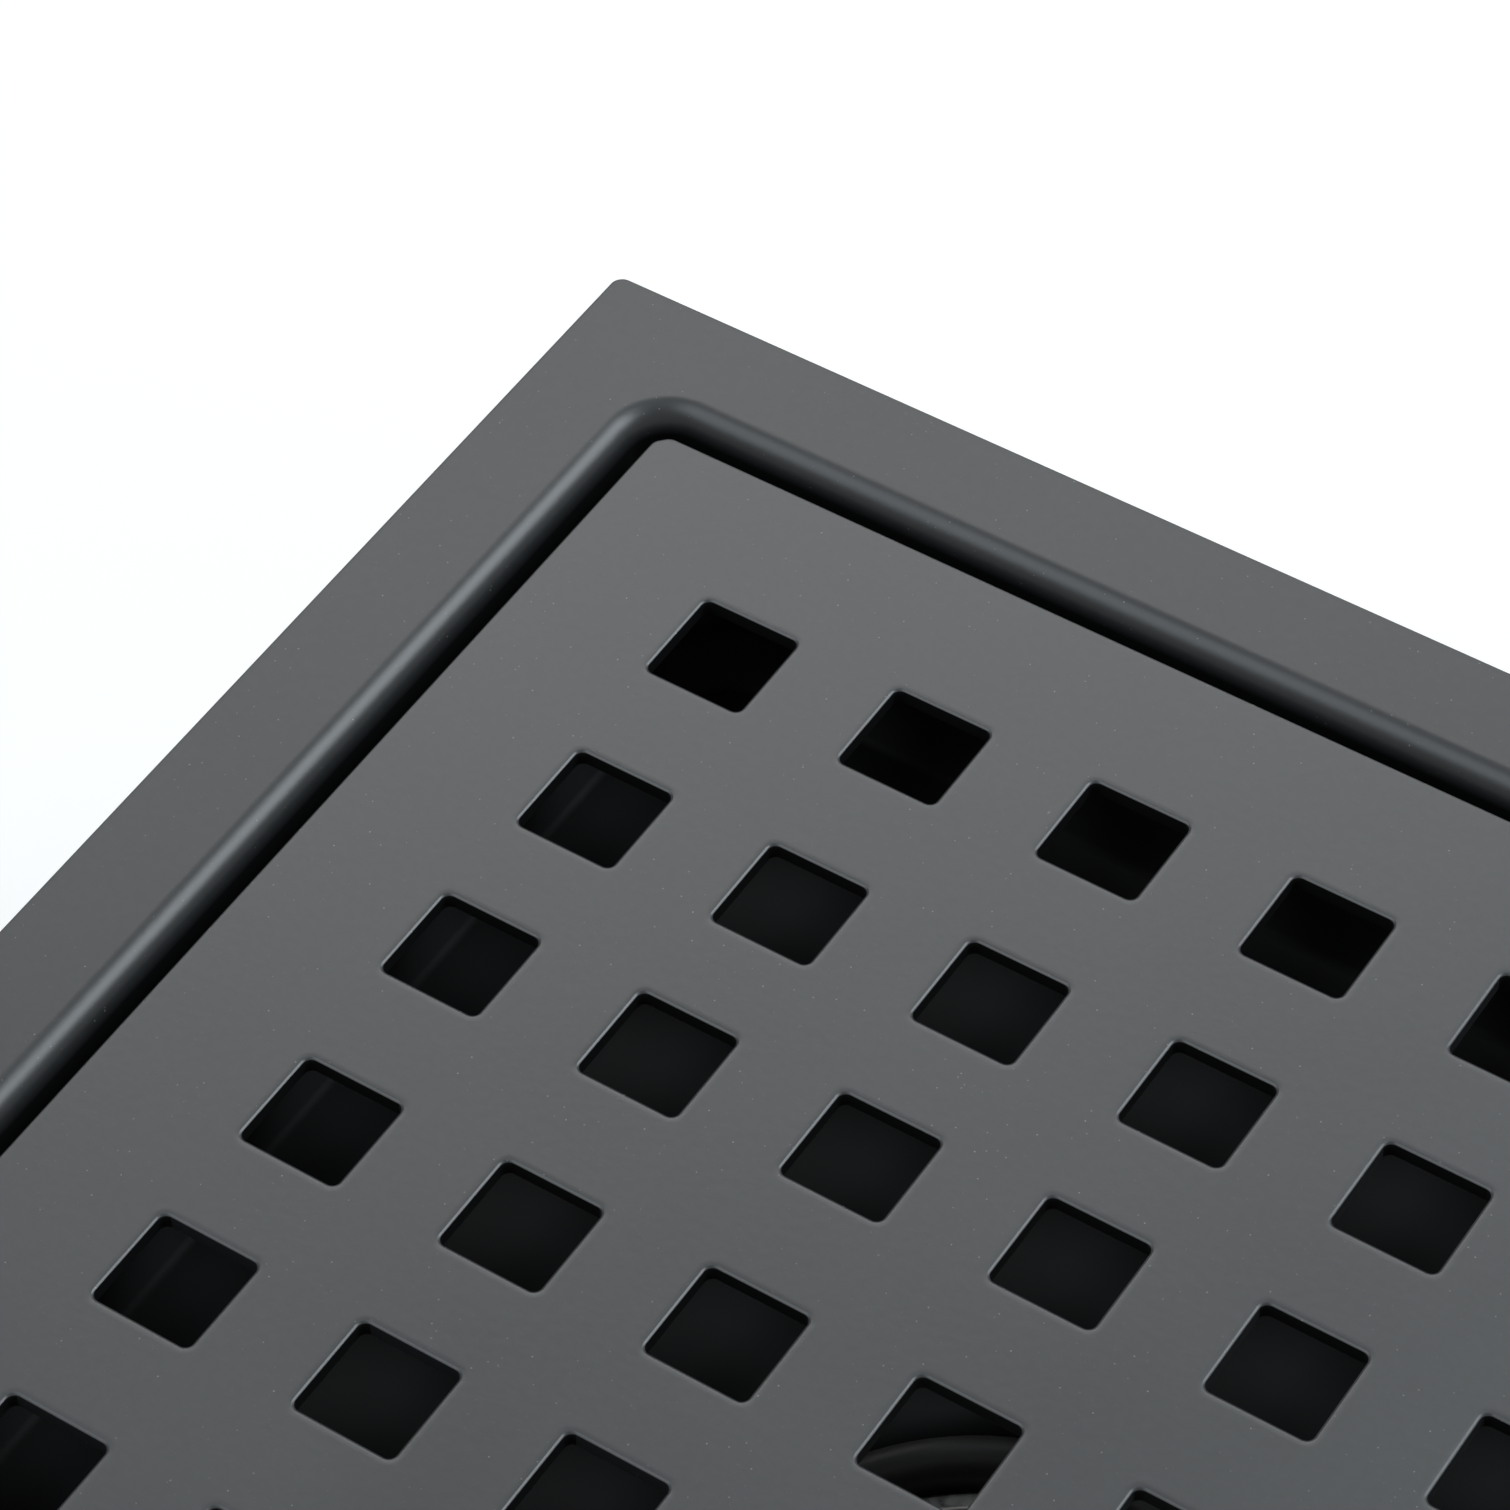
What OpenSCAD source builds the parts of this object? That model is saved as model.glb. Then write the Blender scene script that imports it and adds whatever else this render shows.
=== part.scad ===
// Square shower drain: a pressed tray with a welded outlet, a punched lift-out
// grate, and a pull-out odour trap with a hair basket. Millimetres, +Z up.
// The origin is the centre of the outlet's lower end.

/* [Frame] */
// Overall width of the square rim
frame_w = 150; // [130:1:220]
// Height from the outlet's lower end to the top of the rim
frame_h = 60; // [56:1:110]
// Thickness of the tray's sheet
sheet_t = 1.0; // [0.8:0.1:1.4]
// Width of the flat rim, from its outer edge to the bend
rim_w = 6.9; // [5:0.1:12]
// Plan radius of the rim's outer corners
rim_corner_r = 0.65; // [0.3:0.05:3]

/* [Tray] */
// Radius of the rolled bend from the rim into the recess
bend_r = 1.9; // [1.5:0.1:3]
// Plan radius of the recess wall in its corners
recess_corner_r = 2.9; // [2.4:0.1:5]
// Inside radius where the recess wall turns into the ledge
ledge_bend_r = 1.2; // [0.8:0.1:2]
// Depth of the grate's ledge below the rim
ledge_depth = 8.6; // [6:0.1:14]
// Width of the ledge, from the recess wall to the step
ledge_w = 5.6; // [5:0.1:9]
// Drop of the step from the ledge to the tray's floor
step_depth = 2.8; // [2.4:0.1:6]
// Slope of the step, in degrees from level
step_slope = 45; // [30:1:60]
// Radius of both bends of the step, on their inner side
step_bend_r = 1.0; // [0.6:0.1:1.6]
// Plan radius of the step in the tray's corners
step_corner_r = 5.5; // [4:0.5:20]

/* [Outlet] */
// Outside diameter of the outlet tube
outlet_d = 40; // [38:1:50]
// Wall of the outlet tube
outlet_wall = 1.2; // [1:0.1:2]
// Radial gap between the tray's neck and the outlet tube
neck_gap = 0.2; // [0.1:0.05:0.4]
// Radius of the bend from the tray's floor into the neck
neck_bend_r = 2.2; // [1.8:0.1:4]
// Straight length of the neck below its bend
neck_len = 5; // [3:0.5:8]
// Leg length of the fillet weld under the tray
weld_leg = 1.8; // [1:0.1:3]

/* [Grate] */
// Number of holes along one side
hole_count = 8; // [4:1:9]
// Solid margin from the plate's edge to the nearest holes
hole_margin = 10.75; // [9:0.05:16]
// Width of each square hole
hole_w = 7.1; // [5:0.1:8]
// Corner radius of each hole
hole_corner_r = 0.55; // [0.3:0.05:1]
// Depth and width of the rolled-over edge round each hole
hole_roll = 0.45; // [0.2:0.05:0.6]
// Offset of every second row along its own length, from the punching
row_shift = 0.34; // [0:0.01:0.8]
// Offset of every second row away from the row behind it
row_drop = 0.45; // [0:0.01:0.8]
// Thickness of the grate's plate
grate_t = 1.2; // [1:0.1:2]
// Gap all round, between the grate and the recess wall
grate_gap = 1.5; // [1:0.1:3]
// Depth of the grate's top below the rim
grate_inset = 0.6; // [0:0.1:2]
// Leg length of the clipped corners of the plate
grate_clip = 1.25; // [0.8:0.05:3]
// Radius at both ends of each clipped corner
grate_corner_r = 0.9; // [0.4:0.1:2]

/* [Grate legs] */
// Thickness of each leg's sheet
leg_t = 1.0; // [0.8:0.1:1.5]
// Length of each leg along the grate's edge
leg_len = 24; // [12:1:30]
// Width of each leg's flange, welded under the plate
leg_flange = 6.6; // [4:0.1:7]
// Inside radius of each leg's fold
leg_bend_r = 0.8; // [0.5:0.1:1.5]
// Distance from the grate's side edge to the near end of each leg
leg_end_gap = 5; // [4:0.5:10]
// Distance from the grate's edge to the outer face of each leg
leg_inset = 1.6; // [1.5:0.1:2]

/* [Trap housing] */
// Radial gap between the trap housing and the tray's neck
housing_gap = 1.0; // [0.6:0.1:1.5]
// Radius of the rounded lip that the housing hangs by
lip_r = 1.4; // [1.3:0.05:1.6]
// Radial distance from the neck's wall in to the middle of the lip
lip_inset = 1.2; // [1.1:0.05:1.3]
// Radial width of the shoulder that holds the basket
shoulder_w = 0.8; // [0.6:0.1:1]
// Depth of that shoulder below the tray's floor
shoulder_drop = 2.4; // [2:0.1:4]
// Radius of the opening at the valve seat
seat_r = 11.6; // [9:0.1:12.4]
// Width of the flat ring of the valve seat
seat_w = 2.2; // [1.4:0.1:3]
// Height of the three-armed guide above the seat
guide_lift = 3; // [2:0.1:5]
// Height of the guide's arms and hub
guide_h = 2.5; // [2:0.1:4]
// Radius of the guide's hub
guide_hub_r = 4.0; // [3.6:0.1:5]
// Width of each guide arm
guide_arm_w = 1.8; // [1.4:0.1:3]

/* [Housing seal] */
// Height of the seal and of the groove that holds it
seal_h = 6; // [4:0.1:8]
// Depth of the seal's groove in the housing
groove_depth = 1.1; // [0.8:0.1:1.4]
// Distance from the neck's lower end down to the seal
seal_drop = 2.4; // [1:0.1:4]
// Gap between the seal's fins and the outlet tube
seal_gap = 0.1; // [0.05:0.05:0.3]
// Thickness of each fin at its root
fin_h = 1.6; // [1:0.1:1.9]

/* [Hair basket] */
// Sheet of the basket
basket_t = 0.6; // [0.5:0.1:1]
// Depth of the basket below its rim
basket_depth = 5.6; // [4:0.1:5.8]
// Radial gap round the basket and its rim
basket_gap = 0.25; // [0.15:0.05:0.4]
// Diameter of the basket's holes
basket_hole_d = 2.2; // [1.5:0.1:2.6]
// Distance between the rings of basket holes
basket_ring_pitch = 3.6; // [3.2:0.1:3.8]

/* [Valve] */
// Distance that the valve opens downwards
valve_travel = 6; // [3:0.5:7]
// Thickness of the valve's gasket
gasket_t = 1.4; // [1:0.1:2]
// Thickness of the valve's disc
disc_t = 1.6; // [1.2:0.1:2.5]
// Distance that the gasket reaches past the seat
gasket_over = 1.0; // [0.6:0.1:1.2]
// Distance that the disc reaches past the gasket
disc_over = 0.4; // [0.2:0.1:0.6]
// Height of the ribs under the disc
disc_rib_h = 1.6; // [1:0.1:2]
// Thickness of the ribs under the disc
disc_rib_t = 1.2; // [1:0.1:2]
// Radius of the stem
stem_r = 1.6; // [1.3:0.1:1.9]
// Radial clearance of the stem in the guide
stem_clear = 0.08; // [0.05:0.01:0.1]
// Radius of the stem's head
stem_head_r = 3.4; // [2.8:0.1:4]
// Thickness of the stem's head
stem_head_t = 1.2; // [0.8:0.1:2]
// Depth of the clip's groove in the stem
clip_groove = 0.35; // [0.25:0.05:0.5]
// Thickness of the clip
clip_t = 0.7; // [0.5:0.1:1]
// Radius of the clip
clip_r = 3.0; // [2.6:0.1:3.4]
// Length of stem left above the clip
stem_tip = 0.9; // [0.6:0.1:1.2]
// Room between the stem's tip and the basket above it
stem_room = 1.6; // [0.8:0.1:3]

/* [Spring] */
// Length of the spring with the valve fully open
spring_pressed = 6.5; // [5.5:0.1:8]
// Mean radius of the spring's coil
spring_r = 2.9; // [2.6:0.1:3.2]
// Diameter of the spring's wire
wire_d = 0.6; // [0.4:0.05:0.7]
// Number of the spring's turns
spring_turns = 6; // [4:1:7]
// Thickness of the cap on the spring
cap_t = 1.4; // [1:0.1:2]
// Radius of the cap on the spring
cap_r = 4.2; // [3.8:0.1:5]

/* [Hidden] */
$fn = 96;

coat_colour = "#606264";
steel_colour = "#b9bcbf";
mould_colour = "#1d1e20";
silicone_colour = "#d8d8d4";

// A cut reaches past the faces it opens by this much.
over = 1;
// Gap left between two round faces that only rest on each other.
rest_gap = 0.02;
// Gap between the outlet tube's end and the bend that it is welded round.
weld_gap = 0.1;

// Tray: half widths in plan, measured to the side facing the middle.
wall_half = frame_w / 2 - rim_w - bend_r;
rim_inner_half = wall_half + bend_r;
recess_centre = wall_half - recess_corner_r;
ledge_outer_half = wall_half - ledge_bend_r;
ledge_inner_half = wall_half - ledge_w;
ledge_z = frame_h - ledge_depth;
floor_z = ledge_z - step_depth;

// Step: both bends turn by the slope, with one straight stretch between them.
step_mid_r = step_bend_r + sheet_t;
step_bend_run = (step_bend_r + step_mid_r) * sin(step_slope);
step_bend_drop = (step_bend_r + step_mid_r) * (1 - cos(step_slope));
step_straight = (step_depth - step_bend_drop) / sin(step_slope);
step_run = step_bend_run + step_straight * cos(step_slope);
floor_half = ledge_inner_half - step_run;
step_centre = floor_half - step_corner_r;

// Outlet and neck.
tube_r = outlet_d / 2;
tube_bore_r = tube_r - outlet_wall;
neck_r = tube_bore_r - neck_gap - sheet_t;
neck_bend_c = neck_r + neck_bend_r;
neck_bend_z = floor_z - neck_bend_r;
neck_end_z = neck_bend_z - neck_len;
floor_under_z = floor_z - sheet_t;
tube_top_z = neck_bend_z + sqrt(2 * (neck_bend_r - sheet_t) * neck_gap - pow(neck_gap, 2)) - weld_gap;

// Grate.
grate_half = wall_half - grate_gap;
grate_top_z = frame_h - grate_inset;
grate_under_z = grate_top_z - grate_t;
hole_last = grate_half - hole_margin - hole_w / 2;
hole_pitch = 2 * hole_last / (hole_count - 1);
leg_outer_y = grate_half - leg_inset;
leg_h = grate_under_z - ledge_z;
leg_mid_x = grate_half - leg_end_gap - leg_len / 2;

// Trap housing: the lip rests on the neck's bend.
lip_c = neck_r - lip_inset;
lip_z = neck_bend_z + sqrt(pow(neck_bend_r + lip_r + rest_gap, 2) - pow(neck_bend_c - lip_c, 2));
housing_r = neck_r - housing_gap;
mouth_r = lip_c - lip_r;
bore_r = mouth_r - shoulder_w;
shoulder_z = floor_z - shoulder_drop;
basket_z = shoulder_z - basket_depth;
seat_outer_r = seat_r + seat_w;
seat_h = 1.2;
taper_h = 6;
guide_arms = 3;

// Valve, from the basket down: stem, clip, cap, spring, guide and seat.
stem_top_z = basket_z - stem_room;
clip_z = stem_top_z - stem_tip - clip_t;
cap_z = clip_z - cap_t;
spring_len = spring_pressed + valve_travel;
guide_top_z = cap_z - spring_len;
guide_z = guide_top_z - guide_h;
seat_z = guide_z - guide_lift;
disc_top_z = seat_z - gasket_t;
disc_z = disc_top_z - disc_t;
head_z = disc_z - stem_head_t;
gasket_r = seat_outer_r + gasket_over;
disc_r = gasket_r + disc_over;
disc_ribs = 6;
rib_margin = 0.6;
clip_bore_r = stem_r - clip_groove;
clip_slot_w = 1.7 * clip_bore_r;
boss_h = 1.2;
boss_gap = 0.3;

// Housing seal.
seal_top_z = neck_end_z - seal_drop;
seal_z = seal_top_z - seal_h;
groove_r = housing_r - groove_depth;
fin_r = tube_bore_r - seal_gap;
fin_count = 2;
fin_tip = 0.4;

// Hair basket.
basket_rim_r = mouth_r - basket_gap;
basket_r = bore_r - basket_gap;
basket_rings = 3;

// Spring wire: sides round the wire and rings along each turn.
wire_sides = 8;
turn_rings = 18;

// Square outline with round corners, half its width each way.
module round_square(half, r) {
    square([2 * half, 2 * (half - r)], center = true);
    square([2 * (half - r), 2 * half], center = true);
    for (x = [-1, 1], y = [-1, 1])
        translate([x * (half - r), y * (half - r)])
            circle(r);
}

// Section of bent sheet: a ring between two radii, from one angle to another.
module bend_section(inner_r, t, from, to) {
    reach = 2 * (inner_r + t);
    intersection() {
        difference() {
            circle(inner_r + t);
            circle(inner_r);
        }
        polygon([
            [0, 0],
            [reach * cos(from), reach * sin(from)],
            [reach * cos((from + to) / 2), reach * sin((from + to) / 2)],
            [reach * cos(to), reach * sin(to)]
        ]);
    }
}

// Sweeps a section round a square. The section's X is the distance from the
// middle, and each corner turns about a point `centre` from both middle lines.
module sweep_square(centre) {
    for (quarter = [0:3])
        rotate([0, 0, 90 * quarter]) {
            rotate([90, 0, 0])
                linear_extrude(2 * centre, center = true)
                    children();
            translate([centre, centre, 0])
                rotate_extrude(angle = 90)
                    translate([-centre, 0])
                        children();
        }
}

// The rolled bend, the recess wall and the bend into the ledge.
module wall_section() {
    translate([rim_inner_half, frame_h - bend_r])
        bend_section(bend_r - sheet_t, sheet_t, 90, 180);
    translate([wall_half, ledge_z + ledge_bend_r])
        square([sheet_t, frame_h - bend_r - ledge_z - ledge_bend_r]);
    translate([ledge_outer_half, ledge_z + ledge_bend_r])
        bend_section(ledge_bend_r, sheet_t, 270, 360);
}

// The step: down from the ledge, along the slope and out onto the floor.
module step_section() {
    translate([ledge_inner_half, ledge_z - step_mid_r])
        bend_section(step_bend_r, sheet_t, 90, 90 + step_slope);
    translate([ledge_inner_half, ledge_z - step_mid_r])
        rotate([0, 0, step_slope])
            translate([-step_straight, step_bend_r])
                square([step_straight, sheet_t]);
    translate([floor_half, floor_z + step_bend_r])
        bend_section(step_bend_r, sheet_t, 270, 270 + step_slope);
}

// The bend from the tray's floor and the neck below it.
module neck_section() {
    translate([neck_bend_c, neck_bend_z])
        bend_section(neck_bend_r - sheet_t, sheet_t, 90, 180);
    translate([neck_r, neck_end_z])
        square([sheet_t, neck_len]);
}

// One pressed sheet: rim, recess wall, ledge, step, floor and neck.
module drain_body() {
    color(coat_colour) {
        translate([0, 0, frame_h - sheet_t])
            linear_extrude(sheet_t)
                difference() {
                    round_square(frame_w / 2, rim_corner_r);
                    round_square(rim_inner_half, rim_inner_half - recess_centre);
                }
        sweep_square(recess_centre)
            wall_section();
        translate([0, 0, ledge_z - sheet_t])
            linear_extrude(sheet_t)
                difference() {
                    round_square(ledge_outer_half, ledge_outer_half - recess_centre);
                    round_square(ledge_inner_half, ledge_inner_half - step_centre);
                }
        sweep_square(step_centre)
            step_section();
        translate([0, 0, floor_under_z])
            linear_extrude(sheet_t)
                difference() {
                    round_square(floor_half, step_corner_r);
                    circle(neck_bend_c);
                }
        rotate_extrude()
            neck_section();
    }
}

// Tail tube, with the fillet weld that joins it to the underside of the tray.
module outlet_tube() {
    color(coat_colour)
        rotate_extrude() {
            translate([tube_bore_r, 0])
                square([outlet_wall, tube_top_z]);
            polygon([
                [tube_r, floor_under_z - weld_leg],
                [tube_r + weld_leg, floor_under_z],
                [tube_r, floor_under_z]
            ]);
        }
}

// Outline of the plate: a square with clipped corners whose ends are rounded.
module grate_outline() {
    side = grate_half - grate_corner_r;
    tip = grate_half - grate_clip - grate_corner_r * (sqrt(2) - 1);
    slant = grate_corner_r / sqrt(2);
    polygon([
        for (quarter = [0:3])
            for (p = [
                [grate_half, tip],
                [side + slant, tip + slant],
                [tip + slant, side + slant],
                [tip, grate_half]
            ])
                [
                    p[0] * cos(90 * quarter) - p[1] * sin(90 * quarter),
                    p[0] * sin(90 * quarter) + p[1] * cos(90 * quarter)
                ]
    ]);
    for (x = [-1, 1], y = [-1, 1]) {
        translate([x * side, y * tip])
            circle(grate_corner_r);
        translate([x * tip, y * side])
            circle(grate_corner_r);
    }
}

// Section of the rolled-over edge, wide at the plate's top.
module roll_section() {
    half = hole_w / 2;
    polygon([
        [-half, -hole_roll],
        [half, -hole_roll],
        [half + hole_roll + over, over],
        [-half - hole_roll - over, over]
    ]);
}

// Cutter for one punched hole, its top face at zero.
module punched_hole() {
    translate([0, 0, -grate_t - over])
        linear_extrude(grate_t + 2 * over)
            round_square(hole_w / 2, hole_corner_r);
    intersection() {
        rotate([90, 0, 0])
            linear_extrude(hole_w + 4 * over, center = true)
                roll_section();
        rotate([90, 0, 90])
            linear_extrude(hole_w + 4 * over, center = true)
                roll_section();
        translate([0, 0, -hole_roll])
            linear_extrude(hole_roll + over / 2)
                round_square(hole_w / 2 + hole_roll, hole_corner_r + hole_roll);
    }
}

// Flat punched plate that lifts out of the recess.
module grate() {
    color(coat_colour)
        difference() {
            translate([0, 0, grate_under_z])
                linear_extrude(grate_t)
                    grate_outline();
            for (column = [0:hole_count - 1], row = [0:hole_count - 1])
                translate([
                    column * hole_pitch - hole_last + (row % 2) * row_shift,
                    hole_last - row * hole_pitch - (row % 2) * row_drop,
                    grate_top_z
                ])
                    punched_hole();
        }
}

// Section of one leg: a flange under the plate, a fold and an upright web.
module leg_section() {
    fold = leg_bend_r + leg_t;
    translate([leg_outer_y - leg_flange, leg_h - leg_t])
        square([leg_flange - fold, leg_t]);
    translate([leg_outer_y - fold, leg_h - fold])
        bend_section(leg_bend_r, leg_t, 0, 90);
    translate([leg_outer_y - leg_t, 0])
        square([leg_t, leg_h - fold]);
}

// Four folded legs, welded under the plate and standing on the ledge.
module grate_legs() {
    color(coat_colour)
        for (side = [0, 180], end = [-1, 1])
            rotate([0, 0, side])
                translate([end * leg_mid_x, 0, ledge_z])
                    rotate([90, 0, 90])
                        linear_extrude(leg_len, center = true)
                            leg_section();
}

// Section of the housing: lip, shoulder, seal groove and tapered seat.
module housing_section() {
    difference() {
        union() {
            translate([lip_c, lip_z])
                circle(lip_r);
            polygon([
                [seat_r, seat_z],
                [seat_outer_r, seat_z],
                [seat_outer_r, seat_z + seat_h],
                [housing_r, seat_z + taper_h],
                [housing_r, lip_z],
                [mouth_r, lip_z],
                [mouth_r, shoulder_z],
                [bore_r, shoulder_z],
                [bore_r, seat_z + taper_h],
                [seat_r, seat_z + seat_h]
            ]);
        }
        translate([groove_r, seal_z])
            square([groove_depth + over, seal_h]);
    }
}

// Moulded housing with the three-armed guide for the valve's stem.
module trap_housing() {
    color(mould_colour)
        difference() {
            union() {
                rotate_extrude()
                    housing_section();
                translate([0, 0, guide_z])
                    cylinder(h = guide_h, r = guide_hub_r);
                for (arm = [0:guide_arms - 1])
                    rotate([0, 0, arm * 360 / guide_arms])
                        translate([0, -guide_arm_w / 2, guide_z])
                            cube([(3 * bore_r + housing_r) / 4, guide_arm_w, guide_h]);
            }
            translate([0, 0, guide_z - over])
                cylinder(h = guide_h + 2 * over, r = stem_r + stem_clear);
        }
}

// Silicone sleeve with two fins that close against the outlet tube.
module housing_seal() {
    fin_pitch = seal_h / fin_count;
    color(silicone_colour)
        rotate_extrude() {
            translate([groove_r, seal_z])
                square([groove_depth, seal_h]);
            for (fin = [0:fin_count - 1])
                translate([0, seal_z + fin * fin_pitch])
                    polygon([
                        [housing_r, 0],
                        [fin_r, fin_h],
                        [fin_r, fin_h + fin_tip],
                        [housing_r, fin_h]
                    ]);
        }
}

// Pressed basket, hung by its rim on the housing's shoulder.
module hair_basket() {
    color(steel_colour)
        difference() {
            rotate_extrude() {
                translate([0, basket_z])
                    square([basket_r, basket_t]);
                translate([basket_r - basket_t, basket_z])
                    square([basket_t, basket_depth]);
                translate([basket_r - basket_t, shoulder_z])
                    square([basket_rim_r - basket_r + basket_t, basket_t]);
            }
            for (ring = [0:basket_rings], step = [0:max(0, 6 * ring - 1)])
                rotate([0, 0, step * 360 / max(1, 6 * ring)])
                    translate([ring * basket_ring_pitch, 0, basket_z - over])
                        cylinder(h = basket_t + 2 * over, d = basket_hole_d);
        }
}

// Moulded disc that carries the gasket, with ribs under it.
module valve_disc() {
    color(mould_colour)
        difference() {
            union() {
                translate([0, 0, disc_z])
                    cylinder(h = disc_t, r = disc_r);
                for (rib = [0:disc_ribs - 1])
                    rotate([0, 0, rib * 360 / disc_ribs])
                        translate([stem_head_r + rib_margin, -disc_rib_t / 2, disc_z - disc_rib_h])
                            cube([
                                disc_r - stem_head_r - 2 * rib_margin,
                                disc_rib_t,
                                disc_rib_h + disc_t / 2
                            ]);
            }
            translate([0, 0, disc_z - over])
                cylinder(h = disc_t + 2 * over, r = stem_r);
        }
}

// Silicone gasket that shuts against the seat.
module valve_gasket() {
    color(silicone_colour)
        translate([0, 0, disc_top_z])
            difference() {
                cylinder(h = gasket_t, r = gasket_r);
                translate([0, 0, -over])
                    cylinder(h = gasket_t + 2 * over, r = stem_r);
            }
}

// Headed stem with a groove for the clip.
module valve_stem() {
    color(steel_colour)
        difference() {
            union() {
                translate([0, 0, head_z])
                    cylinder(h = stem_head_t, r = stem_head_r);
                translate([0, 0, disc_z])
                    cylinder(h = stem_top_z - disc_z, r = stem_r);
            }
            translate([0, 0, clip_z])
                difference() {
                    cylinder(h = clip_t, r = stem_r + over);
                    translate([0, 0, -over])
                        cylinder(h = clip_t + 2 * over, r = clip_bore_r);
                }
        }
}

// Points of one ring of the spring's wire, square to the coil's circle.
function wire_ring(i, lift) = [
    for (s = [0:wire_sides - 1])
        let (turn = 360 * i / turn_rings)
        let (reach = spring_r + wire_d / 2 * cos(360 * s / wire_sides))
        [
            reach * cos(turn),
            reach * sin(turn),
            lift * i + wire_d / 2 * sin(360 * s / wire_sides)
        ]
];

// Coil spring between the guide and the cap.
module valve_spring() {
    rings = spring_turns * turn_rings;
    lift = (spring_len - wire_d) / rings;
    points = [for (i = [0:rings]) each wire_ring(i, lift)];
    start_cap = [for (s = [0:wire_sides - 1]) s];
    end_cap = [for (s = [wire_sides - 1:-1:0]) rings * wire_sides + s];
    sides = [
        for (i = [0:rings - 1], s = [0:wire_sides - 1])
            let (next = (s + 1) % wire_sides)
            [
                i * wire_sides + s,
                (i + 1) * wire_sides + s,
                (i + 1) * wire_sides + next,
                i * wire_sides + next
            ]
    ];
    color(steel_colour)
        translate([0, 0, guide_top_z + wire_d / 2])
            polyhedron(points, concat([start_cap, end_cap], sides), convexity = 8);
}

// Cap that the spring pushes up, with a boss inside the coil.
module spring_cap() {
    boss_r = spring_r - wire_d / 2 - boss_gap;
    color(mould_colour)
        difference() {
            union() {
                translate([0, 0, cap_z])
                    cylinder(h = cap_t, r = cap_r);
                translate([0, 0, cap_z - boss_h])
                    cylinder(h = boss_h + cap_t / 2, r = boss_r);
            }
            translate([0, 0, cap_z - boss_h - over])
                cylinder(h = cap_t + boss_h + 2 * over, r = stem_r);
        }
}

// Open retaining clip in the stem's groove.
module stem_clip() {
    color(steel_colour)
        translate([0, 0, clip_z])
            difference() {
                cylinder(h = clip_t, r = clip_r);
                translate([0, 0, -over])
                    cylinder(h = clip_t + 2 * over, r = clip_bore_r);
                translate([0, -clip_slot_w / 2, -over])
                    cube([clip_r + over, clip_slot_w, clip_t + 2 * over]);
            }
}

drain_body();
outlet_tube();
grate();
grate_legs();
trap_housing();
housing_seal();
hair_basket();
valve_disc();
valve_gasket();
valve_stem();
valve_spring();
spring_cap();
stem_clip();
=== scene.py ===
# %% [markdown]
# Square shower drain.
# The real thing is a pressed sheet tray with a flat punched grate in it, a short outlet tube welded
# under it, and a pull-out odour trap inside the tube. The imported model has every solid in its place,
# so this lesson only gives each one its true edges, bends and finish, in the same frame. The drain's
# sizes are written in millimetres and turned into metres once, when a mesh is made. Only the floor
# and the lamps, which are no part of it, are given in metres.

# %% Load the frame
import math

import bmesh
import bpy
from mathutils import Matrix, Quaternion, Vector


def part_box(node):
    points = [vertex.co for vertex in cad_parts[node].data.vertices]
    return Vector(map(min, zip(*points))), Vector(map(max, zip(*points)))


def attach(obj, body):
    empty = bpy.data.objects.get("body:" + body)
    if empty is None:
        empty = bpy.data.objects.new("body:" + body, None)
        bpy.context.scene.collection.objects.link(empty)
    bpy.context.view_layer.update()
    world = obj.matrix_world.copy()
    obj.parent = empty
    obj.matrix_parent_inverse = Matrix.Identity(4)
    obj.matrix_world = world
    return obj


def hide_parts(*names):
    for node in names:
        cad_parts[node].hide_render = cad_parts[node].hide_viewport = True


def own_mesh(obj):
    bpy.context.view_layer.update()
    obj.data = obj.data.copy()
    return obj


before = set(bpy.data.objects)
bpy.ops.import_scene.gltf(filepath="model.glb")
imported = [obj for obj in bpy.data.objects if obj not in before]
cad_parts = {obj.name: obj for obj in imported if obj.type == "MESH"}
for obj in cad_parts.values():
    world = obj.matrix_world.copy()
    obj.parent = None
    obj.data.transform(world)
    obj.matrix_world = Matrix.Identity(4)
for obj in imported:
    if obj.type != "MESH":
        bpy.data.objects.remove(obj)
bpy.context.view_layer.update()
scene = bpy.context.scene
MM = 0.001


def span(node):
    """Lowest and highest corner of one solid, in millimetres."""
    low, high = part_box(node)
    return low / MM, high / MM


print("solids:", ", ".join(sorted(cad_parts)))

# %% [markdown]
# The camera comes first, because every later choice is judged through it. It stands above one
# corner and looks down at the grate through a long lens, so the rows of holes hardly converge. A
# place, a point to look at and a small roll are easier to read and change than three angles.

# %% Camera
camera_place = Vector((93.64, -153.91, 335.78))
camera_aim = Vector((-44.06, 44.50, 59.40))
camera_roll = math.radians(-2.027)
camera_lens = 140.31
camera_sensor_w = 36
camera_nearest = 10

camera_data = bpy.data.cameras.new("camera")
camera_data.lens = camera_lens
camera_data.sensor_width = camera_sensor_w
camera_data.clip_start = camera_nearest * MM
camera = bpy.data.objects.new("camera", camera_data)
scene.collection.objects.link(camera)
level_view = (camera_aim - camera_place).to_track_quat("-Z", "Y")
camera.location = camera_place * MM
camera.rotation_mode = "QUATERNION"
camera.rotation_quaternion = level_view @ Quaternion((0, 0, 1), camera_roll)
scene.camera = camera
print("camera to its aim in mm:", round((camera_aim - camera_place).length, 1))

# %% [markdown]
# A material is a small graph of nodes. These helpers add a node with its links and fixed values, put
# two values or two shaders together, and make a grey, so that each finish below reads as a short
# list of what it is made of.

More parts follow.
